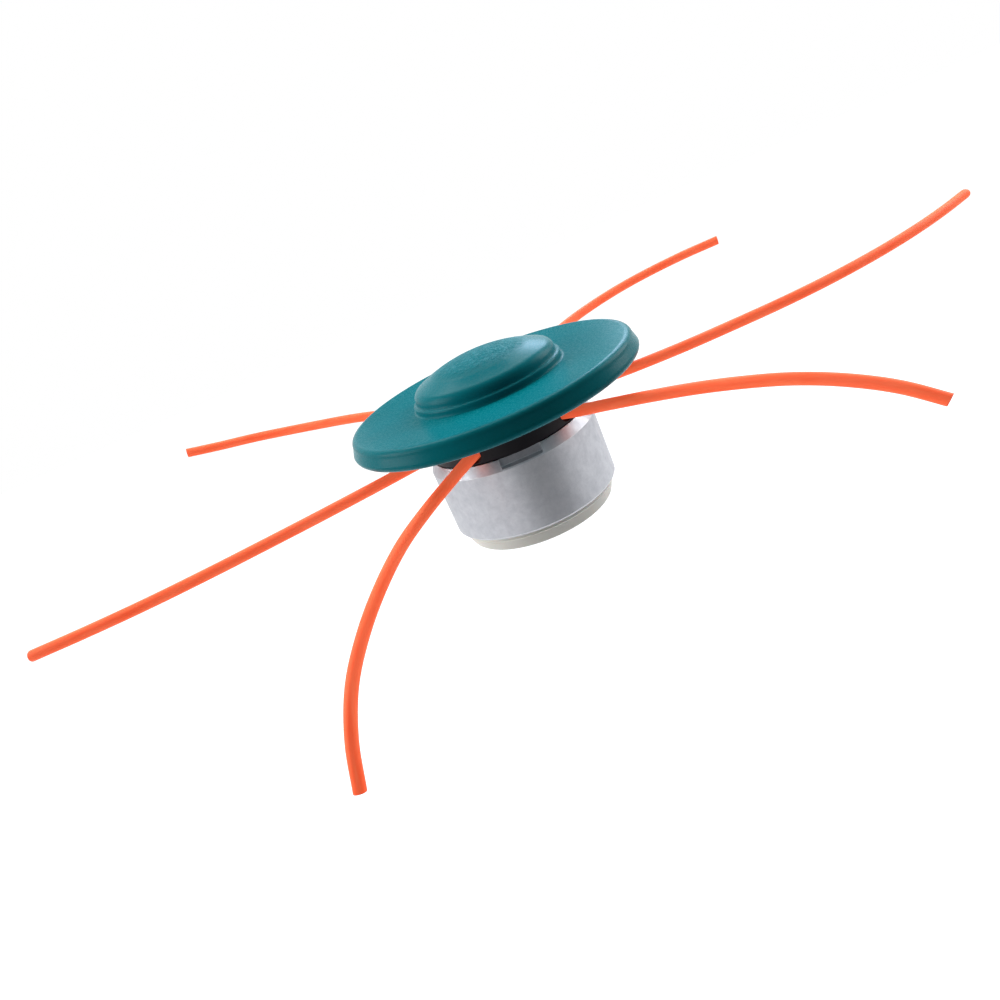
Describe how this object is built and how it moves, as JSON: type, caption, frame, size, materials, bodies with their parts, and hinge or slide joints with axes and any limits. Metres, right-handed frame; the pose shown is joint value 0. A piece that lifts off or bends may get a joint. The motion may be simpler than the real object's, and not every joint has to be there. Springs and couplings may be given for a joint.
{
  "type": "fixed line trimmer head",
  "caption": "Brush cutter head that clamps short fixed lengths of nylon line round inner bushes, with a domed gliding cap in front and a metal drive collar behind.",
  "frame": {"origin": "centre of the mouth of the spindle thread, in the plane of the head's rear face", "axes": "+Z along the spin axis from the machine towards the domed cap; +Y through the middle of one pair of line ends"},
  "size_m": [0.3765, 0.1937, 0.0743],
  "materials": {
    "cap_plastic": "fine moulded grain, soft sheen",
    "clamp_plastic": "smooth black moulding",
    "line_nylon": "extruded nylon, slightly translucent",
    "collar_aluminium": "turned and tumbled, satin",
    "ring_plastic": "plain moulding",
    "steel": "zinc plated",
    "brass": "turned"
  },
  "bodies": {
    "root": {"cap": "cap_plastic", "thread_inserts": "brass", "line_clamp_front": "clamp_plastic", "line_clamp_rear": "clamp_plastic", "locating_pins": "steel", "line_1": "line_nylon", "line_2": "line_nylon", "line_3": "line_nylon", "line_bush_1": "steel", "line_bush_2": "steel", "line_bush_3": "steel", "drive_collar": "collar_aluminium", "dust_ring": "ring_plastic", "arbor": "steel", "arbor_washer": "steel", "arbor_spring_washer": "steel", "arbor_nut": "steel", "clamp_screws": "steel", "screw_washers": "steel"}
  },
  "joints": []
}
